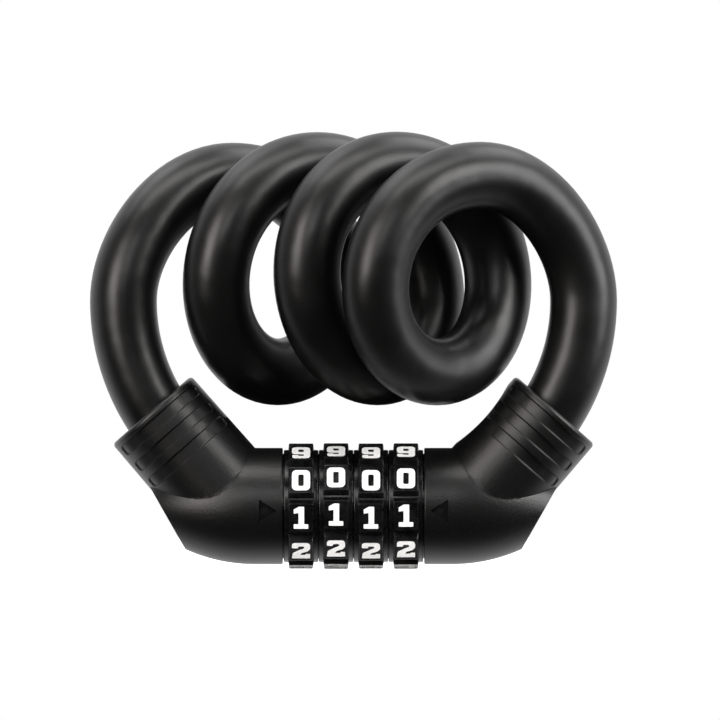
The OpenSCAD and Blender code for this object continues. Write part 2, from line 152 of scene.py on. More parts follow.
def applyModifiers(piece):
    bpy.context.view_layer.update()
    graph = bpy.context.evaluated_depsgraph_get()
    mesh = bpy.data.meshes.new_from_object(piece.evaluated_get(graph))
    piece.modifiers.clear()
    old = piece.data
    piece.data = mesh
    mesh.name = old.name
    bpy.data.meshes.remove(old)


def combine(piece, bm, operation):
    # joins or cuts a piece with a closed bmesh
    tool = placed("tool", bm, None)
    modifier = piece.modifiers.new("combine", "BOOLEAN")
    modifier.operation = operation
    modifier.solver = "MANIFOLD"
    modifier.object = tool
    applyModifiers(piece)
    bpy.data.objects.remove(tool)


def roundedOutline(corners, steps=4):
    # corners are (x, y, radius); returns the outline with each corner as an arc
    points = []
    for i, (x, y, radius) in enumerate(corners):
        here = Vector((x, y))
        before = Vector(corners[i - 1][:2]) - here
        after = Vector(corners[(i + 1) % len(corners)][:2]) - here
        half = before.angle(after) / 2
        reach = min(radius / math.tan(half), 0.5 * before.length, 0.5 * after.length)
        start, end = here + before.normalized() * reach, here + after.normalized() * reach
        for k in range(steps + 1):
            t = k / steps
            points.append((1 - t) ** 2 * start + 2 * t * (1 - t) * here + t * t * end)
    return points


def turnRound(bm, steps):
    # a full turn of everything in the bmesh round the X axis
    bmesh.ops.spin(bm, geom=bm.verts[:] + bm.edges[:], cent=(0, 0, 0), axis=(1, 0, 0), dvec=(0, 0, 0),
                   angle=math.radians(360), steps=steps, use_merge=True, use_duplicate=False)
    bmesh.ops.remove_doubles(bm, verts=bm.verts, dist=1e-6)
    bmesh.ops.recalc_face_normals(bm, faces=bm.faces)


def spun(corners, steps, closed=False):
    # a turned shape from its corners (along, radius) in mm, round the X axis
    bm = bmesh.new()
    verts = [bm.verts.new((along * mm, 0, radius * mm)) for along, radius in corners]
    for pair in list(zip(verts, verts[1:])) + ([(verts[-1], verts[0])] if closed else []):
        bm.edges.new(pair)
    turnRound(bm, steps)
    return bm


def ringEdges(bm, along, radius):
    # the edges of a turned shape's circle at that place, in mm
    return [e for e in bm.edges if all(abs(v.co.x - along * mm) < 1e-6
                                       and abs(math.hypot(v.co.y, v.co.z) - radius * mm) < 1e-6 for v in e.verts)]


def roundEdges(bm, edges, radius, segments):
    bmesh.ops.bevel(bm, geom=edges, offset=radius * mm, offset_type="OFFSET", affect="EDGES",
                    segments=segments, profile=0.5, material=-1, clamp_overlap=True)


def newVerts(made):
    # the vertices that an operator has just made
    return [g for g in made["geom"] if isinstance(g, bmesh.types.BMVert)]


# the cable: a coil of three and a half turns and a leg at each end, all in mm
cable = {
    "diameter": 18,
    "ropeDiameter": 11,
    "ropePlay": 0.05,      # air between the rope and the sleeve
    "ropeStub": 4.2,
    "coilRadius": 27.8,
    "sway": 21.6,
    "lean": 17.2,
    "pitch": 21.4,
    "step": 12,
    "shift": 1,
    "middleShift": 5.5,
    "endDrop": 2.8,
    "legReach": 61.9,
    "ferruleDepth": 9,
    "endTurn": 1.75,
    "easeFrom": 1.5,
    "flareFrom": 1.38,
    "ringsPerTurn": 96,
    "arcRings": 24,
    "straightRings": 8,
    "sides": 48,
    "ropeSides": 24,
    "stretchFrom": 0.08,   # the share of the length at which the stretch to the plug half starts and ends
    "stretchTo": 0.92,
}


def cableRoute(c, past=0):
    # centre points of the cable in mm from the dials' axis, from the left ferrule to the right
    angle = math.radians(lock["socketAngle"])
    mouthX = -lock["elbowX"] - lock["socketLength"] * math.sin(angle)
    mouthZ = lock["socketLength"] * math.cos(angle)
    cornerZ = mouthZ + (c["legReach"] + mouthX) / math.tan(angle)
    side = math.hypot(c["legReach"] + mouthX, mouthZ - cornerZ) + c["ferruleDepth"]
    radius = side / math.tan(angle / 2)
    legTop = cornerZ + side
    rise = -lock["axisHeight"]

    def turned(u):
        over = max(0, abs(u) - c["easeFrom"])
        return math.copysign(abs(u) - over ** 2 / (2 * (c["endTurn"] - c["easeFrom"])), u)

    def coilPoint(u):
        hand = math.copysign(1, u)
        flare = smooth((abs(u) - c["flareFrom"]) / (c["endTurn"] - c["flareFrom"]))
        push = c["middleShift"] * (1 + math.cos(2 * math.pi * u)) / 2 if abs(u) < 0.5 else 0
        last = turned(c["endTurn"])
        wave = math.sin(2 * math.pi * u)
        x = (c["shift"] * (1 - flare) + c["pitch"] * turned(u) + push - c["sway"] * wave
             + hand * flare * (c["legReach"] - c["pitch"] * last - c["sway"]))
        y = (-c["step"] * turned(u) - c["lean"] * wave
             + hand * flare * (c["step"] * last - c["lean"]))
        ease = smooth((abs(u) - c["easeFrom"]) / (c["endTurn"] - c["easeFrom"]))
        z = (rise - c["coilRadius"] * math.cos(2 * math.pi * u)
             - c["endDrop"] * smooth((abs(u) - 1) / 0.5)
             - (rise - c["endDrop"] - legTop) * ease)
        return Vector((x, y, z))

    def leg(hand):
        arc = [angle * (k + 1) / c["arcRings"] for k in range(c["arcRings"])]
        points = [Vector((hand * (c["legReach"] - radius * (1 - math.cos(a))), 0,
                          legTop - radius * math.sin(a))) for a in arc]
        run = Vector((-hand * math.sin(angle), 0, -math.cos(angle)))
        for k in range(c["straightRings"]):
            points.append(points[c["arcRings"] - 1] + run * c["diameter"] * (k + 1) / c["straightRings"])
        if past:
            points.append(points[-1] + run * past)
        return points

    count = int(2 * c["endTurn"] * c["ringsPerTurn"])
    coil = [coilPoint(-c["endTurn"] + i / c["ringsPerTurn"]) for i in range(count + 1)]
    route = leg(-1)[::-1] + coil + leg(1)
    return [p * mm + Vector((0, 0, lock["axisHeight"] * mm)) for p in route]


def ringFrames(route, c):
    # one matrix for each ring: its plane is square to the route and its X stays near the coil's axis
    coilAxis = Vector((c["pitch"], -c["step"], 0)).normalized()
    frames = []
    for i, point in enumerate(route):
        along = (route[min(i + 1, len(route) - 1)] - route[max(i - 1, 0)]).normalized()
        across = (coilAxis - coilAxis.dot(along) * along).normalized()
        up = along.cross(across)
        turn = Matrix((across, up, along)).transposed().to_4x4()
        frames.append(Matrix.Translation(point) @ turn)
    return frames


def sweep(bm, frames, radius, sides):
    # extrudes a circle from ring to ring; returns the first and the last loop of edges
    start = bmesh.ops.create_circle(bm, cap_ends=False, radius=radius, segments=sides,
                                    matrix=frames[0])["verts"]
    first = list({e for v in start for e in v.link_edges})
    edges = first
    for before, after in zip(frames, frames[1:]):
        made = bmesh.ops.extrude_edge_only(bm, edges=edges)
        ring = set(newVerts(made))
        edges = [g for g in made["geom"] if isinstance(g, bmesh.types.BMEdge) and ring.issuperset(g.verts)]
        bmesh.ops.transform(bm, matrix=after @ before.inverted(), verts=newVerts(made))
    return first, edges


def ringShares(route):
    # how far along the route each point lies, from 0 to 1
    shares = [0]
    for a, b in zip(route, route[1:]):
        shares.append(shares[-1] + (b - a).length)
    return [s / shares[-1] for s in shares], shares[-1]


def layAlong(piece, route, c):
    # UVs in metres along and round the sleeve, and a stretch that moves each ring whole
    shares, length = ringShares(route)
    tree = KDTree(len(route))
    for i, point in enumerate(route):
        tree.insert(point, i)
    tree.balance()
    frames = ringFrames(route, c)
    nearest = [tree.find(v.co)[1] for v in piece.data.vertices]
    local = [frames[i].inverted() @ v.co for i, v in zip(nearest, piece.data.vertices)]
    around = [math.atan2(p.y, p.x) / (2 * math.pi) for p in local]
    uvs = piece.data.uv_layers.new(name="alongCable")
    for face in piece.data.polygons:
        first = around[piece.data.loops[face.loop_start].vertex_index]
        for loop in face.loop_indices:
            vertex = piece.data.loops[loop].vertex_index
            turn = around[vertex] - round(around[vertex] - first)
            uvs.data[loop].uv = (shares[nearest[vertex]] * length, turn * math.pi * c["diameter"] * mm)
    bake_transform(piece)


def addCable(c):
    route = cableRoute(c)
    frames = ringFrames(route, c)
    bm = bmesh.new()
    outer = sweep(bm, frames, c["diameter"] / 2 * mm, c["sides"])
    inner = sweep(bm, frames, (c["ropeDiameter"] / 2 + c["ropePlay"]) * mm, c["sides"])
    for outerEdge, innerEdge in zip(outer, inner):
        # the flat ring at each end is filled; a bridge would pair these loops the wrong way round
        bmesh.ops.triangle_fill(bm, edges=outerEdge + innerEdge, use_beauty=True, use_dissolve=False)
    bmesh.ops.recalc_face_normals(bm, faces=bm.faces)
    sleeve = placed("coiledSleeve", bm, None)
    smoothShade(sleeve, 60)
    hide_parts("cable_sleeve")
    layAlong(sleeve, route, c)

    ropeRoute = cableRoute(c, past=c["ropeStub"])
    bm = bmesh.new()
    ends = sweep(bm, ringFrames(ropeRoute, c), c["ropeDiameter"] / 2 * mm, c["ropeSides"])
    bmesh.ops.holes_fill(bm, edges=ends[0] + ends[1], sides=0)
    bmesh.ops.recalc_face_normals(bm, faces=bm.faces)
    rope = placed("wireRope", bm, None)
    smoothShade(rope, 60)
    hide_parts("cable_rope")
    layAlong(rope, ropeRoute, c)
    return sleeve, rope


sleeve, rope = addCable(cable)
print("cable laid")


def screenRing(x, rise, play):
    # a ring that screens a gap, or its groove, on the dials' axis from x to the right
    inner, outer = lock["screenRadii"]
    bm = spun([(x, inner - play), (x, outer + play), (x + rise, outer + play), (x + rise, inner - play)],
              lock["screenSides"], closed=True)
    bmesh.ops.translate(bm, vec=(0, 0, lock["axisHeight"] * mm), verts=bm.verts)
    return bm


# the moulded covers; the left one's measures, and the right one mirrors it
cover = {
    "bodyRadius": 15.65,
    "noseStart": 26.6,
    "noseCurve": 45,
    "noseLength": 30,
    "noseSteps": 40,
    "straightCuts": 11,
    "endCutX": 51.8,
    "endCutAngle": 29.6,
    "rootRadius": 14.4,
    "mouthRadius": 14.0,
    "rimRound": 1.1,
    "faceRound": 0.35,
    "cutRound": 0.35,
    "slotWidth": 3.1,
    "slotPitch": 5.6,
    "slotFirst": 2.0,
    "slotDepth": 0.9,
    "slotHalfAngle": 61,
    "slotWall": 0.3,
    "slotFade": 0.6,       # share of the depth that is lost at the slots' ends
    "slotFadeAngle": 22,
    "slotCount": 3,
    "slotRows": (0, 0.1, 0.2, 0.3, 0.45),   # rows of faces on both sides of a slot's edge
    "skinFrom": 13,        # the slots press in what lies outside this radius
    "arrowLength": 4.8,
    "arrowHeight": 6.2,
    "arrowDepth": 0.6,
    "arrowGap": 1.6,
    "arrowTurn": 4.5,
    "castingRadius": 12.65,
    "castingSocketRadius": 11.55,
    "waistDepth": 1.1,
    "waistRadius": 44,
    "waistPlace": 13.2,
    "screenRise": 0.65,
    "lip": 3,
    "mouthBore": (10.6, 11.0),
    "sides": 240,
    "boreSides": 96,
}


def outward():
    # +X of a spun piece becomes the way out along the dials' axis to the left
    return Matrix.Translation((0, 0, lock["axisHeight"] * mm)) @ Matrix.Rotation(math.pi, 4, "Z")


def inSocket():
    # +X of a spun piece becomes the left socket's axis, from the elbow to the mouth; its -Z faces the front
    angle = math.radians(lock["socketAngle"])
    along = Vector((-math.sin(angle), 0, math.cos(angle)))
    front = Vector((0, -1, 0))
    turn = Matrix((along, front.cross(along), front)).transposed().to_4x4()
    place = Matrix.Translation((-lock["elbowX"] * mm, 0, lock["axisHeight"] * mm))
    return place @ turn


def bodySolid(c):
    # the rounded body: its flat face, a straight stretch, then the nose that is cut off aslant
    bm = bmesh.new()
    corners = ((lock["faceX"], 0), (lock["faceX"], c["bodyRadius"]), (c["noseStart"], c["bodyRadius"]))
    verts = [bm.verts.new((along * mm, 0, radius * mm)) for along, radius in corners]
    edges = [bm.edges.new(pair) for pair in zip(verts, verts[1:])]
    centre = (c["noseStart"] * mm, 0, (c["bodyRadius"] - c["noseCurve"]) * mm)
    nose = bmesh.ops.spin(bm, geom=[verts[2]], cent=centre, axis=(0, 1, 0), dvec=(0, 0, 0),
                          angle=math.asin(c["noseLength"] / c["noseCurve"]), steps=c["noseSteps"],
                          use_duplicate=False)["geom_last"]
    bm.edges.new((nose[0], bm.verts.new(((c["noseStart"] + c["noseLength"]) * mm, 0, 0))))
    bmesh.ops.subdivide_edges(bm, edges=edges[1:], cuts=c["straightCuts"])
    turnRound(bm, c["sides"])
    roundEdges(bm, ringEdges(bm, lock["faceX"], c["bodyRadius"]), c["faceRound"], 5)
    angle = math.radians(c["endCutAngle"])
    made = bmesh.ops.bisect_plane(bm, geom=bm.verts[:] + bm.edges[:] + bm.faces[:], dist=1e-7,
                                  plane_co=(c["endCutX"] * mm, 0, 0), clear_outer=True,
                                  plane_no=(math.cos(angle), 0, -math.sin(angle)))
    rim = [g for g in made["geom_cut"] if isinstance(g, bmesh.types.BMEdge)]
    bmesh.ops.contextual_create(bm, geom=rim)
    roundEdges(bm, [e for e in rim if e.is_valid], c["cutRound"], 3)
    bmesh.ops.recalc_face_normals(bm, faces=bm.faces)
    return bm


def socketRows(c):
    # where the socket needs a row of faces, in mm from the elbow: close together at the slots' edges
    rows = set()
    for k in range(c["slotCount"]):
        top = lock["socketLength"] - c["slotFirst"] - k * c["slotPitch"]
        for edge in (top, top - c["slotWidth"]):
            rows |= {round(edge + side * step, 3) for side in (-1, 1) for step in c["slotRows"]}
        rows |= {round(top - c["slotWidth"] * part / 6, 3) for part in range(1, 6)}
    lowest = min(rows)
    return sorted(rows | {round(lowest * k / 14, 3) for k in range(1, 14)})


def socketSolid(c):
    # the angled socket with its three slots, front and back
    length = lock["socketLength"]
    bm = spun([(0, 0), (0, c["rootRadius"]), (length, c["mouthRadius"]), (length, 0)], c["sides"])
    roundEdges(bm, ringEdges(bm, length, c["mouthRadius"]), c["rimRound"], 6)
    for row in socketRows(c):
        bmesh.ops.bisect_plane(bm, geom=bm.verts[:] + bm.edges[:] + bm.faces[:], dist=1e-7,
                               plane_co=(row * mm, 0, 0), plane_no=(1, 0, 0))
    half = math.radians(c["slotHalfAngle"])
    for vert in bm.verts:
        h, r = vert.co.x / mm, math.hypot(vert.co.y, vert.co.z) / mm
        if r < c["skinFrom"] or h > length - c["rimRound"]:
            continue
        away = abs(math.atan2(vert.co.y, abs(vert.co.z)))   # angle from the front or the back
        # shallower towards the slots' ends
        fade = 1 - c["slotFade"] * smooth((away - half) / math.radians(c["slotFadeAngle"]) + 1)
        depth = 0
        for k in range(c["slotCount"]):
            middle = length - c["slotFirst"] - c["slotWidth"] / 2 - k * c["slotPitch"]
            side = max(0, away - half) * r
            inside = c["slotWidth"] / 2 - math.hypot(side, h - middle)
            depth = max(depth, c["slotDepth"] * fade * smooth(inside / c["slotWall"] + 0.5))
        vert.co.y *= (r - depth) / r
        vert.co.z *= (r - depth) / r
    bmesh.ops.transform(bm, matrix=inSocket(), verts=bm.verts)
    bmesh.ops.recalc_face_normals(bm, faces=bm.faces)
    return bm


def arrowTool(c):
    # a flat triangle whose point looks at the dials
    tip = -lock["faceX"] - c["arrowGap"]
    bm = bmesh.new()
    base, half = tip - c["arrowLength"], c["arrowHeight"] / 2
    floorY = -(c["bodyRadius"] - c["arrowDepth"])
    corners = [(tip, 0), (base, half), (base, -half)]
    face = bm.faces.new([bm.verts.new((x * mm, floorY * mm, z * mm)) for x, z in corners])
    outside = newVerts(bmesh.ops.extrude_face_region(bm, geom=[face]))
    bmesh.ops.translate(bm, vec=(0, -3 * mm, 0), verts=outside)
    turn = Matrix.Rotation(math.radians(c["arrowTurn"]), 4, "X")
    place = Matrix.Translation((0, 0, lock["axisHeight"] * mm)) @ turn
    bmesh.ops.transform(bm, matrix=place, verts=bm.verts)
    bmesh.ops.recalc_face_normals(bm, faces=bm.faces)
    return bm


def waistTool(c):
    # hollows the inner side of the socket along a wide arc
    radius, deep = c["waistRadius"] * mm, 30 * mm
    middle = (lock["socketLength"] - c["waistPlace"]) * mm
    across = (c["mouthRadius"] - c["waistDepth"]) * mm + radius
    half = math.acos((across - c["rootRadius"] * mm) / radius)   # half of the arc that lies inside the socket
    bm = bmesh.new()
    start = bm.verts.new((middle - radius * math.sin(half), -c["rootRadius"] * mm, -deep))
    end = bmesh.ops.spin(bm, geom=[start], cent=(middle, -across, -deep), axis=(0, 0, -1), dvec=(0, 0, 0),
                         angle=2 * half, steps=40, use_duplicate=False)["geom_last"][0]
    outer = [bm.verts.new((v.co.x, -deep, -deep)) for v in (end, start)]
    for pair in ((end, outer[0]), outer, (outer[1], start)):
        bm.edges.new(pair)
    face = bmesh.ops.contextual_create(bm, geom=bm.edges[:])["faces"]
    top = newVerts(bmesh.ops.extrude_face_region(bm, geom=face))
    bmesh.ops.translate(bm, vec=(0, 0, 2 * deep), verts=top)
    bmesh.ops.transform(bm, matrix=inSocket(), verts=bm.verts)
    bmesh.ops.recalc_face_normals(bm, faces=bm.faces)
    return bm


def addCover(c, name, node, body, mirrored):
    bm = bodySolid(c)
    bmesh.ops.transform(bm, matrix=outward(), verts=bm.verts)
    piece = placed(name, bm, None)
    combine(piece, socketSolid(c), "UNION")

    start, end = lock["faceX"] - 1, lock["elbowX"] + 5
    hollow = spun([(start, 0), (start, c["castingRadius"]), (end, c["castingRadius"]), (end, 0)],
                  c["boreSides"])
    bmesh.ops.transform(hollow, matrix=outward(), verts=hollow.verts)
    combine(piece, hollow, "DIFFERENCE")
    mouth = lock["socketLength"]
    inner = mouth - c["lip"]
    narrow, wide = c["mouthBore"]
    hollow = spun([(0, 0), (0, c["castingSocketRadius"]), (inner, c["castingSocketRadius"]), (inner + 0.05, narrow),
                   (mouth - 0.3, wide), (mouth + 0.1, wide + 0.4), (mouth + 1, wide + 0.4), (mouth + 1, 0)],
                  c["boreSides"])
    bmesh.ops.transform(hollow, matrix=inSocket(), verts=hollow.verts)
    combine(piece, hollow, "DIFFERENCE")
    combine(piece, arrowTool(c), "DIFFERENCE")
    if mirrored:
        combine(piece, waistTool(c), "DIFFERENCE")
        combine(piece, screenRing(-lock["faceX"] - lock["grooveDepth"], lock["grooveDepth"] + 0.1,
                                  lock["screenGap"]), "DIFFERENCE")
    else:
        combine(piece, screenRing(-lock["faceX"] - 0.1, c["screenRise"] + 0.1, 0), "UNION")

    bm = bmesh.new()
    bm.from_mesh(piece.data)
    bmesh.ops.remove_doubles(bm, verts=bm.verts, dist=2e-6)
    if mirrored:
        bmesh.ops.scale(bm, vec=(-1, 1, 1), verts=bm.verts)
    bmesh.ops.recalc_face_normals(bm, faces=bm.faces)
    bm.to_mesh(piece.data)
    bm.free()
    smoothShade(piece, 32)
    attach(piece, body)
    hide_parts(node)
    return piece


leftCover = addCover(cover, "leftCover", "left_cover", "lock_body", False)
rightCover = addCover(cover, "rightCover", "right_cover", "plug", True)
print("covers moulded")


# the number dials with their ten pads
dial = {
    "width": 9.3,
    "baseRadius": 15.1,
    "rimRound": 0.35,
    "boreRadius": 11.05,
    "padsRadius": 16.5,
    "padWidth": 6.5,
    "padHeight": 7.7,
    "draft": 0.7,
    "sideDraft": 0.3,
    "padCorner": 0.35,
    "frame": 0.4,
    "frameDepth": 0.16,
    "frameSlope": 0.06,
    "padFoot": 1,          # how deep a pad starts in the wheel
    "edgeRound": 0.13,
    "screenRise": 0.5,
    "turns": (10.7, 7.7, 10.7, 8.7),
    "keyWidth": 2.5,
    "keyRise": 1.05,
    "keyLeft": -0.95,
    "sides": 120,
    "padCount": 10,
}


def dialX(i):
    return (i - (lock["dialCount"] + 1) / 2) * lock["dialPitch"]


def padAngle(d, i, k):
    # how far pad k of dial i is turned from +Z, first to the front and then on downwards
    return math.radians(90 + d["turns"][i - 1] + 360 / d["padCount"] * k)


def padBlock(d):
    # one number pad on +Z, drawn up from its foot: sloped sides, a rounded edge, a thin frame and a sunk face
    edge, frame, slope, top = d["edgeRound"], d["frame"], d["frameSlope"], d["padsRadius"]
    # each step: how far it stands outside the pad's top along X and Y, and its height
    steps = [(d["sideDraft"], d["draft"], d["baseRadius"] - d["padFoot"])]
    steps += [(-edge * (1 - math.cos(a)), -edge * (1 - math.cos(a)), top - edge * (1 - math.sin(a)))
              for a in (0, math.pi / 6, math.pi / 3, math.pi / 2)]
    steps += [(-frame, -frame, top), (-frame - slope, -frame - slope, top - d["frameDepth"])]
    steps = [(d["padWidth"] + 2 * x, d["padHeight"] + 2 * y, z) for x, y, z in steps]
    width, height, foot = steps[0]
    bm = bmesh.new()
    bmesh.ops.create_grid(bm, x_segments=1, y_segments=1, size=0.5 * mm)
    bmesh.ops.scale(bm, vec=(width, height, 1), verts=bm.verts)
    bmesh.ops.translate(bm, vec=(0, 0, foot * mm), verts=bm.verts)
    bmesh.ops.bevel(bm, geom=bm.verts[:], offset=d["padCorner"] * mm, offset_type="OFFSET", affect="VERTICES",
                    segments=4, profile=0.5, material=-1)
    face = next(iter(bm.faces))
    for before, after in zip(steps, steps[1:]):
        made = bmesh.ops.extrude_face_region(bm, geom=[face] + face.edges[:] + face.verts[:])
        face = next(g for g in made["geom"] if isinstance(g, bmesh.types.BMFace))
        bmesh.ops.scale(bm, vec=(after[0] / before[0], after[1] / before[1], 1), verts=newVerts(made))
        bmesh.ops.translate(bm, vec=(0, 0, (after[2] - before[2]) * mm), verts=newVerts(made))
    bmesh.ops.recalc_face_normals(bm, faces=bm.faces)
    return bm


def addDial(d, i):
    half, rise, depth = d["width"] / 2, d["screenRise"], lock["grooveDepth"]
    bore, base = d["boreRadius"], d["baseRadius"]
    inner, outer = lock["screenRadii"]
    low, high = inner - lock["screenGap"], outer + lock["screenGap"]
    # from the bore up the left face with its groove, over the rim and down the right face with its ring
    corners = [(-half, bore), (-half, low), (-half + depth, low), (-half + depth, high), (-half, high),
               (-half, base), (half, base), (half, outer), (half + rise, outer), (half + rise, inner),
               (half, inner), (half, bore)]
    wheel = spun(corners, d["sides"], closed=True)
    for side in (-half, half):
        roundEdges(wheel, ringEdges(wheel, side, base), d["rimRound"], 4)
    piece = placed(f"dialWheel{i}", wheel, None)
    pad = padBlock(d)
    padMesh = bpy.data.meshes.new("pad")
    pad.to_mesh(padMesh)
    pad.free()
    ring = bmesh.new()
    for k in range(d["padCount"]):
        start = len(ring.verts)
        ring.from_mesh(padMesh)
        ring.verts.ensure_lookup_table()
        turn = Matrix.Rotation(padAngle(d, i, k), 4, "X")
        bmesh.ops.transform(ring, matrix=turn, verts=ring.verts[start:])
    bpy.data.meshes.remove(padMesh)
    combine(piece, ring, "UNION")
    key = bmesh.new()
    bmesh.ops.create_cube(key, size=1)
    long, high = 8, 4   # past the wheel's right face and up into the bore
    bmesh.ops.scale(key, vec=(long * mm, d["keyWidth"] * mm, high * mm), verts=key.verts)
    place = (d["keyLeft"] + long / 2, 0, high / 2 - bore - d["keyRise"])
    bmesh.ops.translate(key, vec=Vector(place) * mm, verts=key.verts)
    combine(piece, key, "DIFFERENCE")
    piece.data.transform(Matrix.Translation((dialX(i) * mm, 0, lock["axisHeight"] * mm)))
    smoothShade(piece, 28)
    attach(piece, f"dial_{i}")
    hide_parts(f"dial_{i}")
    return piece


dialWheels = [addDial(dial, i + 1) for i in range(lock["dialCount"])]
print("dials moulded")

# each numeral is drawn on a field of 49 x 60 tenths of a millimetre, as outlines of (x, y, corner radius)
numerals = {
    "field": (49, 60),
    "unit": 0.1,
    "thickness": 0.07,
    "lift": 0.02,
    "shapes": {
        0: [[(0, 0, 14), (49, 0, 14), (49, 60, 14), (0, 60, 14)], [(17, 13, 4), (32, 13, 4), (32, 47, 4), (17, 47, 4)]],
        1: [[(5, 0, 2), (44, 0, 2), (44, 12, 2), (33, 12, 2), (33, 60, 2), (19, 60, 2), (5, 52, 2), (5, 41, 2),
             (18, 43, 1), (18, 12, 2), (5, 12, 2)]],
        2: [[(0, 0, 2), (49, 0, 2), (49, 17, 2), (37, 17, 2), (36, 13, 1), (22, 13, 1), (26, 21, 3), (42, 27, 8),
             (49, 36, 6), (49, 60, 14), (0, 60, 12), (0, 40, 3), (16, 40, 2), (17, 47, 4), (33, 47, 5), (33, 39, 5),
             (20, 32, 6), (2, 20, 8)]],
        3: [[(0, 0, 12), (49, 0, 14), (49, 31, 7), (44, 31, 2), (48, 33, 5), (48, 60, 12), (1, 60, 10), (1, 43, 2),
             (16, 43, 2), (17, 48, 2), (32, 48, 4), (32, 37, 3), (15, 37, 1), (15, 25, 1), (33, 25, 3), (33, 12, 4),
             (17, 12, 2), (16, 19, 2), (0, 19, 2)]],
        4: [[(20, 0, 1), (46, 0, 1), (46, 9, 1), (41, 9, 1), (41, 15, 1), (49, 15, 1), (49, 27, 1), (41, 27, 1),
             (41, 60, 2), (22, 60, 2), (0, 27, 3), (0, 15, 1), (25, 15, 1), (25, 9, 1), (20, 9, 1)],
            [(25, 27, 1), (14, 27, 1), (25, 45, 1)]],
        5: [[(0, 0, 12), (49, 0, 14), (49, 38, 13), (18, 38, 3), (18, 47, 1), (46, 47, 1), (46, 60, 2), (3, 60, 2),
             (3, 27, 1), (32, 27, 4), (32, 12, 4), (17, 12, 3), (16, 18, 2), (0, 18, 2)]],
        6: [[(0, 0, 13), (49, 0, 13), (49, 38, 12), (17, 38, 2), (17, 48, 3), (32, 48, 2), (33, 43, 2), (48, 43, 2),
             (48, 60, 12), (0, 60, 13)], [(17, 12, 4), (32, 12, 4), (32, 26, 4), (17, 26, 4)]],
        7: [[(12, 0, 1), (30, 0, 1), (30, 14, 8), (49, 42, 6), (49, 60, 2), (0, 60, 2), (0, 40, 1), (12, 40, 1),
             (14, 46, 1), (32, 46, 1), (12, 20, 8)]],
        8: [[(0, 0, 13), (49, 0, 13), (49, 28, 6), (45, 31, 2), (48, 34, 5), (48, 60, 12), (1, 60, 12), (1, 34, 5),
             (4, 31, 2), (0, 28, 6)], [(17, 11, 3), (32, 11, 3), (32, 25, 3), (17, 25, 3)],
            [(18, 37, 3), (31, 37, 3), (31, 49, 3), (18, 49, 3)]],
        9: [[(1, 0, 12), (49, 0, 13), (49, 60, 13), (0, 60, 13), (0, 22, 12), (32, 22, 2), (32, 12, 3), (17, 12, 2),
             (16, 17, 2), (1, 17, 2)], [(17, 34, 4), (32, 34, 4), (32, 48, 4), (17, 48, 4)]],
    },
}


def numeralMesh(n, digit):
    # the numeral as a thin slab on +Z, its middle over the origin
    (wide, tall), unit = n["field"], n["unit"] * mm
    curve = bpy.data.curves.new("numeral", "CURVE")
    curve.dimensions = "2D"
    curve.fill_mode = "BOTH"
    curve.extrude = n["thickness"] / 2 * mm
    for outline in n["shapes"][digit]:
        points = roundedOutline(outline)
        spline = curve.splines.new("POLY")
        spline.points.add(len(points) - 1)
        for target, point in zip(spline.points, points):
            target.co = ((point.x - wide / 2) * unit, (point.y - tall / 2) * unit, 0, 1)
        spline.use_cyclic_u = True
    holder = bpy.data.objects.new("numeral", curve)
    scene.collection.objects.link(holder)
    graph = bpy.context.evaluated_depsgraph_get()
    mesh = bpy.data.meshes.new_from_object(holder.evaluated_get(graph))
    bpy.data.objects.remove(holder)
    bpy.data.curves.remove(curve)
    return mesh


def addNumbers(n, d, i):
    # ten numerals on their pads; the 1 stands at the front, the higher numbers follow below it
    bm = bmesh.new()
    height = (d["padsRadius"] - d["frameDepth"] + n["lift"] + n["thickness"] / 2) * mm
    for k in range(d["padCount"]):
        mesh = numeralMeshes[(1 + k) % d["padCount"]]
        start = len(bm.verts)
        bm.from_mesh(mesh)
        bm.verts.ensure_lookup_table()
        place = Matrix.Rotation(padAngle(d, i, k), 4, "X") @ Matrix.Translation((0, 0, height))
        bmesh.ops.transform(bm, matrix=place, verts=bm.verts[start:])
    bmesh.ops.remove_doubles(bm, verts=bm.verts, dist=1e-6)
    bmesh.ops.translate(bm, vec=(dialX(i) * mm, 0, lock["axisHeight"] * mm), verts=bm.verts)
    bmesh.ops.recalc_face_normals(bm, faces=bm.faces)
    piece = placed(f"dialNumbers{i}", bm, f"dial_{i}")
    return piece


numeralMeshes = {digit: numeralMesh(numerals, digit) for digit in numerals["shapes"]}
dialNumbers = [addNumbers(numerals, dial, i + 1) for i in range(lock["dialCount"])]
for mesh in numeralMeshes.values():
    bpy.data.meshes.remove(mesh)
print("numbers painted")


def addNode(tree, kind, inputs=None, **settings):
    node = tree.nodes.new("ShaderNode" + kind)
    for key, value in settings.items():
        setattr(node, key, value)
    for key, value in (inputs or {}).items():
        if isinstance(value, bpy.types.NodeSocket):
            tree.links.new(value, node.inputs[key])
        else:
            node.inputs[key].default_value = value
    return node


def newMaterial(name, surface):
    # a material with one Principled shader; returns it, its tree and the shader
    material = bpy.data.materials.new(name)
    material.use_nodes = True
    tree = material.node_tree
    tree.nodes.clear()
    shader = addNode(tree, "BsdfPrincipled", surface)
    addNode(tree, "OutputMaterial", {"Surface": shader.outputs["BSDF"]})
    return material, tree, shader


def perMetre(size):
    # pattern scale for features of that size in mm
    return 1 / (size * mm)


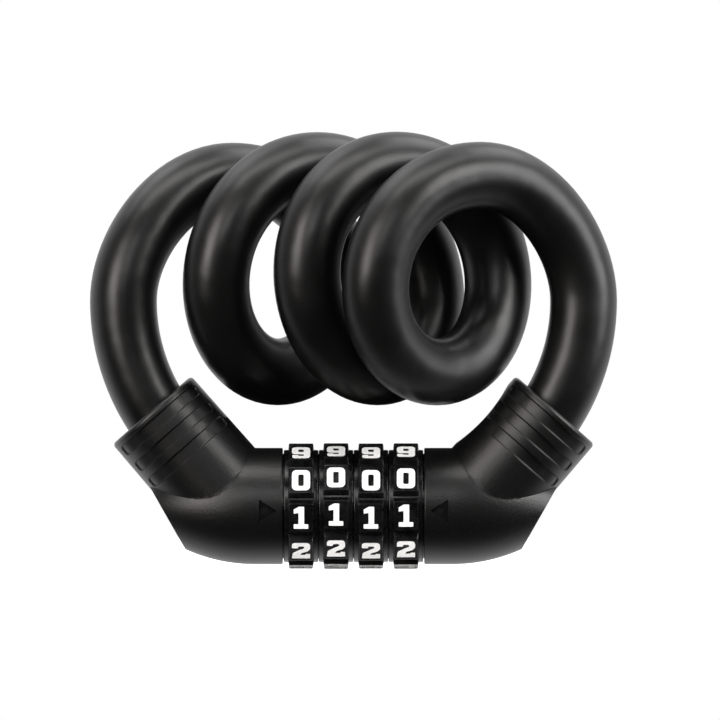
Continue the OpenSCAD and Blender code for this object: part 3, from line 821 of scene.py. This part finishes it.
def sleeveVinyl():
    # extruded soft PVC: satin, with faint handling marks and a fine orange-peel skin
    material, tree, shader = newMaterial("sleeveVinyl", {"IOR": 1.56})
    place = addNode(tree, "TexCoord").outputs["Object"]
    patches = addNode(tree, "TexNoise", {"Vector": place, "Scale": perMetre(14), "Detail": 3}).outputs["Fac"]
    tone = addNode(tree, "ValToRGB", {"Fac": patches})
    tone.color_ramp.elements[0].position, tone.color_ramp.elements[0].color = 0.35, hexColor("#040404")
    tone.color_ramp.elements[1].position, tone.color_ramp.elements[1].color = 0.7, hexColor("#090808")
    tree.links.new(tone.outputs["Color"], shader.inputs["Base Color"])
    rub = addNode(tree, "MapRange", {"Value": patches, "From Min": 0.3, "From Max": 0.7,
                                     "To Min": 0.33, "To Max": 0.41})
    tree.links.new(rub.outputs["Result"], shader.inputs["Roughness"])
    skin = addNode(tree, "TexNoise", {"Vector": place, "Scale": perMetre(0.5), "Detail": 2}).outputs["Fac"]
    dents = addNode(tree, "TexNoise", {"Vector": place, "Scale": perMetre(7), "Detail": 1}).outputs["Fac"]
    fine = addNode(tree, "Bump", {"Height": skin, "Strength": 0.25, "Distance": 0.03 * mm})
    coarse = addNode(tree, "Bump", {"Height": dents, "Strength": 0.5, "Distance": 0.35 * mm,
                                    "Normal": fine.outputs["Normal"]})
    tree.links.new(coarse.outputs["Normal"], shader.inputs["Normal"])
    return material


def grainedAbs():
    # injection-moulded ABS from a spark-eroded mould: matt, the grain breaks up each highlight
    material, tree, shader = newMaterial("grainedAbs", {"IOR": 1.6})
    place = addNode(tree, "TexCoord").outputs["Object"]
    grain = addNode(tree, "TexNoise", {"Vector": place, "Scale": perMetre(0.35), "Detail": 3}).outputs["Fac"]
    tone = addNode(tree, "ValToRGB", {"Fac": grain})
    tone.color_ramp.elements[0].position, tone.color_ramp.elements[0].color = 0.3, hexColor("#030303")
    tone.color_ramp.elements[1].position, tone.color_ramp.elements[1].color = 0.75, hexColor("#0c0b0b")
    tree.links.new(tone.outputs["Color"], shader.inputs["Base Color"])
    shader.inputs["Roughness"].default_value = 0.36
    bump = addNode(tree, "Bump", {"Height": grain, "Strength": 0.8, "Distance": 0.07 * mm})
    tree.links.new(bump.outputs["Normal"], shader.inputs["Normal"])
    return material


def polishedAbs():
    # injection-moulded ABS from a polished mould: dark and glossy, with faint wear
    material, tree, shader = newMaterial("polishedAbs", {"IOR": 1.54})
    place = addNode(tree, "TexCoord").outputs["Object"]
    wear = addNode(tree, "TexNoise", {"Vector": place, "Scale": perMetre(3), "Detail": 4}).outputs["Fac"]
    rub = addNode(tree, "MapRange", {"Value": wear, "From Min": 0.3, "From Max": 0.7, "To Min": 0.2, "To Max": 0.34})
    tree.links.new(rub.outputs["Result"], shader.inputs["Roughness"])
    tone = addNode(tree, "ValToRGB", {"Fac": wear})
    tone.color_ramp.elements[0].position, tone.color_ramp.elements[0].color = 0.3, hexColor("#050506")
    tone.color_ramp.elements[1].position, tone.color_ramp.elements[1].color = 0.7, hexColor("#0e0e10")
    tree.links.new(tone.outputs["Color"], shader.inputs["Base Color"])
    bump = addNode(tree, "Bump", {"Height": wear, "Strength": 0.3, "Distance": 0.05 * mm})
    tree.links.new(bump.outputs["Normal"], shader.inputs["Normal"])
    return material


def padPaint():
    # pad-printed white ink: opaque, a little uneven
    material, tree, shader = newMaterial("padPaint", {"IOR": 1.5})
    place = addNode(tree, "TexCoord").outputs["Object"]
    blot = addNode(tree, "TexNoise", {"Vector": place, "Scale": perMetre(0.8), "Detail": 2}).outputs["Fac"]
    tone = addNode(tree, "ValToRGB", {"Fac": blot})
    tone.color_ramp.elements[0].position, tone.color_ramp.elements[0].color = 0.3, hexColor("#f0f0ee")
    tone.color_ramp.elements[1].position, tone.color_ramp.elements[1].color = 0.6, hexColor("#fcfcfb")
    tree.links.new(tone.outputs["Color"], shader.inputs["Base Color"])
    shader.inputs["Roughness"].default_value = 0.5
    bump = addNode(tree, "Bump", {"Height": blot, "Strength": 0.2, "Distance": 0.02 * mm})
    tree.links.new(bump.outputs["Normal"], shader.inputs["Normal"])
    return material


def castZinc():
    # die-cast zinc: dull, slightly mottled
    material, tree, shader = newMaterial("castZinc", {"Metallic": 1.0})
    place = addNode(tree, "TexCoord").outputs["Object"]
    mottle = addNode(tree, "TexNoise", {"Vector": place, "Scale": perMetre(1.2), "Detail": 4}).outputs["Fac"]
    tone = addNode(tree, "ValToRGB", {"Fac": mottle})
    tone.color_ramp.elements[0].position, tone.color_ramp.elements[0].color = 0.3, hexColor("#8d8f91")
    tone.color_ramp.elements[1].position, tone.color_ramp.elements[1].color = 0.7, hexColor("#b4b6b8")
    tree.links.new(tone.outputs["Color"], shader.inputs["Base Color"])
    rub = addNode(tree, "MapRange", {"Value": mottle, "From Min": 0.3, "From Max": 0.7, "To Min": 0.38, "To Max": 0.55})
    tree.links.new(rub.outputs["Result"], shader.inputs["Roughness"])
    bump = addNode(tree, "Bump", {"Height": mottle, "Strength": 0.3, "Distance": 0.05 * mm})
    tree.links.new(bump.outputs["Normal"], shader.inputs["Normal"])
    return material


def turnedMetal(name, dark, light, roughness):
    # lathe-turned: fine rings square to the dials' axis stretch each highlight
    material, tree, shader = newMaterial(name, {"Metallic": 1.0})
    place = addNode(tree, "TexCoord").outputs["Object"]
    squash = addNode(tree, "Mapping", {"Vector": place, "Scale": (1, 0.04, 0.04)}).outputs["Vector"]
    rings = addNode(tree, "TexNoise", {"Vector": squash, "Scale": perMetre(0.25), "Detail": 3}).outputs["Fac"]
    tone = addNode(tree, "ValToRGB", {"Fac": rings})
    tone.color_ramp.elements[0].position, tone.color_ramp.elements[0].color = 0.3, hexColor(dark)
    tone.color_ramp.elements[1].position, tone.color_ramp.elements[1].color = 0.7, hexColor(light)
    tree.links.new(tone.outputs["Color"], shader.inputs["Base Color"])
    rub = addNode(tree, "MapRange", {"Value": rings, "From Min": 0.3, "From Max": 0.7,
                                     "To Min": roughness - 0.06, "To Max": roughness + 0.08})
    tree.links.new(rub.outputs["Result"], shader.inputs["Roughness"])
    bump = addNode(tree, "Bump", {"Height": rings, "Strength": 0.15, "Distance": 0.02 * mm})
    tree.links.new(bump.outputs["Normal"], shader.inputs["Normal"])
    return material


def strandedWire():
    # galvanised wire rope: dull bright strands, about eight of them, laid 28 degrees off the cable's line
    material, tree, shader = newMaterial("strandedWire", {"Metallic": 1.0})
    place = addNode(tree, "UVMap", uv_map="alongCable").outputs["UV"]
    turn = addNode(tree, "Mapping", {"Vector": place, "Rotation": (0, 0, math.radians(62))}).outputs["Vector"]
    # a wave texture of scale 1 repeats every pi / 10; the strands lie 6.3 mm apart
    strands = addNode(tree, "TexWave", {"Vector": turn, "Scale": perMetre(20), "Distortion": 0.3})
    tone = addNode(tree, "ValToRGB", {"Fac": strands.outputs["Fac"]})
    tone.color_ramp.elements[0].color = hexColor("#6b6d6f")
    tone.color_ramp.elements[1].color = hexColor("#b9bbbd")
    tree.links.new(tone.outputs["Color"], shader.inputs["Base Color"])
    shader.inputs["Roughness"].default_value = 0.38
    bump = addNode(tree, "Bump", {"Height": strands.outputs["Fac"], "Strength": 0.8, "Distance": 0.4 * mm})
    tree.links.new(bump.outputs["Normal"], shader.inputs["Normal"])
    return material


finishes = {
    "vinyl": sleeveVinyl(),
    "moulded_black": grainedAbs(),
    "dial_black": polishedAbs(),
    "paint": padPaint(),
    "zinc": castZinc(),
    "steel": turnedMetal("turnedSteel", "#9a9b9d", "#c3c5c8", 0.28),
    "brass": turnedMetal("turnedBrass", "#a98238", "#d2ad62", 0.26),
    "wire_rope": strandedWire(),
}


def finish(piece, material):
    piece.data.materials.clear()
    piece.data.materials.append(material)


def polishArrow(c, piece):
    # the floor of the arrow is smooth, the face round it grained
    piece.data.materials.append(finishes["dial_black"])
    turn, floorAt = math.radians(c["arrowTurn"]), -(c["bodyRadius"] - c["arrowDepth"]) * mm
    facing = Vector((0, -math.cos(turn), -math.sin(turn)))
    for face in piece.data.polygons:
        height = face.center.z - lock["axisHeight"] * mm
        across = face.center.y * math.cos(turn) + height * math.sin(turn)
        if abs(across - floorAt) < 0.02 * mm and face.normal.dot(facing) > 0.99:
            face.material_index = 1


finish(sleeve, finishes["vinyl"])
finish(rope, finishes["wire_rope"])
for piece in (leftCover, rightCover):
    finish(piece, finishes["moulded_black"])
    polishArrow(cover, piece)
for piece in dialWheels:
    finish(piece, finishes["dial_black"])
for piece in dialNumbers:
    finish(piece, finishes["paint"])
for part in frame["record"]["subparts"]:
    node = frame["nodes"][part["node"]]
    for slot in node.material_slots:
        slot.material = finishes[part["material_slot"]]
print("materials given")

studio = {
    "floorDrop": 0.4,
    "floorSize": 3.0,
    "floorWhite": 0.75,     # what the floor adds to its own light for the camera
    "lampDistance": 1.5,
    "lampsAimAt": -0.025,   # height of the object's middle, in metres
    "flagSize": (0.085, 0.31),            # metres
    "flagPlace": (0.002, 0.15, -0.04),
    "worldLight": 0.4,
    "frontSheen": 0.02,    # how much of the white room shows in gloss that faces the camera's side
    "lamps": (
        # name, degrees to the right of the camera, degrees up, size, watts, colour
        ("leftSoftbox", -40, 15, (0.6, 1.05), 12, "#fff9f5"),
        ("rightSoftbox", 76, 14, (0.65, 1.1), 12, "#ffffff"),
        ("rightFrontSoftbox", 52, 27, (0.45, 0.75), 8, "#fffdfb"),
        ("frontSoftbox", -6, 24, (0.4, 0.4), 2, "#ffffff"),
        ("topSoftbox", 0, 72, (1.3, 0.45), 9, "#fffdfb"),
        ("backLeftSoftbox", -120, 62, (1.0, 0.7), 4, "#ffffff"),
        ("backRightSoftbox", 116, 56, (1.0, 0.7), 6, "#ffffff"),
    ),
}


def addLamp(name, turn, rise, size, watts, colour):
    tilt = Matrix.Rotation(math.radians(-rise), 3, "X")
    aim = Matrix.Rotation(math.radians(turn), 3, "Z") @ tilt @ Vector((0, -1, 0))
    place = aim * studio["lampDistance"] + Vector((0, 0, studio["lampsAimAt"]))
    data = bpy.data.lights.new(name, "AREA")
    data.shape = "RECTANGLE"
    data.size, data.size_y = size
    data.energy = watts
    data.color = hexColor(colour)[:3]
    lamp = bpy.data.objects.new(name, data)
    lamp.location = place
    lamp.rotation_euler = (-aim).to_track_quat("-Z", "Y").to_euler()
    scene.collection.objects.link(lamp)


def addFloor(s):
    low = cadBox[0][2] - s["floorDrop"] * mm
    bm = bmesh.new()
    bmesh.ops.create_grid(bm, x_segments=2, y_segments=2, size=s["floorSize"] / 2)
    bmesh.ops.translate(bm, vec=(0, 0, low), verts=bm.verts)
    mesh = bpy.data.meshes.new("floor")
    bm.to_mesh(mesh)
    bm.free()
    floor = bpy.data.objects.new("floor", mesh)
    scene.collection.objects.link(floor)
    # matt white board, lifted to plain white for the camera so that only the shadow shows
    material, tree, shader = newMaterial("whiteBoard", {"Base Color": hexColor("#e8e8e8"), "Roughness": 0.9})
    rays = addNode(tree, "LightPath")
    seen = addNode(tree, "Math", {0: rays.outputs["Is Camera Ray"], 1: rays.outputs["Is Glossy Ray"]},
                   operation="MAXIMUM")
    tree.links.new(seen.outputs["Value"], shader.inputs["Emission Strength"])
    shader.inputs["Emission Color"].default_value = (s["floorWhite"],) * 3 + (1,)
    floor.data.materials.append(material)
    floor.visible_glossy = False    # gloss shows the room's own white below the object too


def addFlag(s):
    # a black card behind the dials, level with the gap below the coil, which only gloss shows; it puts painted shade
    # into the reflections on the loops' undersides and the body's top
    bm = bmesh.new()
    bmesh.ops.create_grid(bm, x_segments=1, y_segments=1, size=0.5)
    bmesh.ops.scale(bm, vec=s["flagSize"] + (1,), verts=bm.verts)
    bmesh.ops.translate(bm, vec=s["flagPlace"], verts=bm.verts)
    mesh = bpy.data.meshes.new("blackFlag")
    bm.to_mesh(mesh)
    bm.free()
    flag = bpy.data.objects.new("blackFlag", mesh)
    scene.collection.objects.link(flag)
    # painted shade: the card's near-black colour stands in for the shade that these reflections would show
    flag.data.materials.append(newMaterial("glossShadeCard", {"Base Color": hexColor("#020202"), "Roughness": 1.0})[0])
    flag.visible_camera = False
    flag.visible_diffuse = False
    flag.visible_shadow = False
    flag.visible_transmission = False


def addWorld(s):
    world = bpy.data.worlds.new("studioWorld")
    scene.world = world
    world.use_nodes = True
    tree = world.node_tree
    tree.nodes.clear()
    rays = addNode(tree, "LightPath").outputs
    way = addNode(tree, "SeparateXYZ", {"Vector": addNode(tree, "TexCoord").outputs["Generated"]})
    # the far wall is white and the near one dark, as in a light tent that is open at the camera
    wall = addNode(tree, "MapRange", {"Value": way.outputs["Y"], "From Min": -0.3, "From Max": 0.6,
                                      "To Min": s["frontSheen"], "To Max": 1.0}, interpolation_type="SMOOTHSTEP")
    seen = addNode(tree, "Math", {0: rays["Is Camera Ray"], 1: rays["Is Transmission Ray"]}, operation="MAXIMUM")
    gloss = addNode(tree, "Mix", {"Factor": rays["Is Glossy Ray"], "A": s["worldLight"], "B": wall.outputs["Result"]})
    strength = addNode(tree, "Mix", {"Factor": seen.outputs["Value"], "A": gloss.outputs["Result"], "B": 1.0})
    light = addNode(tree, "Background", {"Color": (1, 1, 1, 1), "Strength": strength.outputs["Result"]})
    addNode(tree, "OutputWorld", {"Surface": light.outputs["Background"]})


for lamp in studio["lamps"]:
    addLamp(*lamp)
addFloor(studio)
addFlag(studio)
addWorld(studio)
print("studio lit")
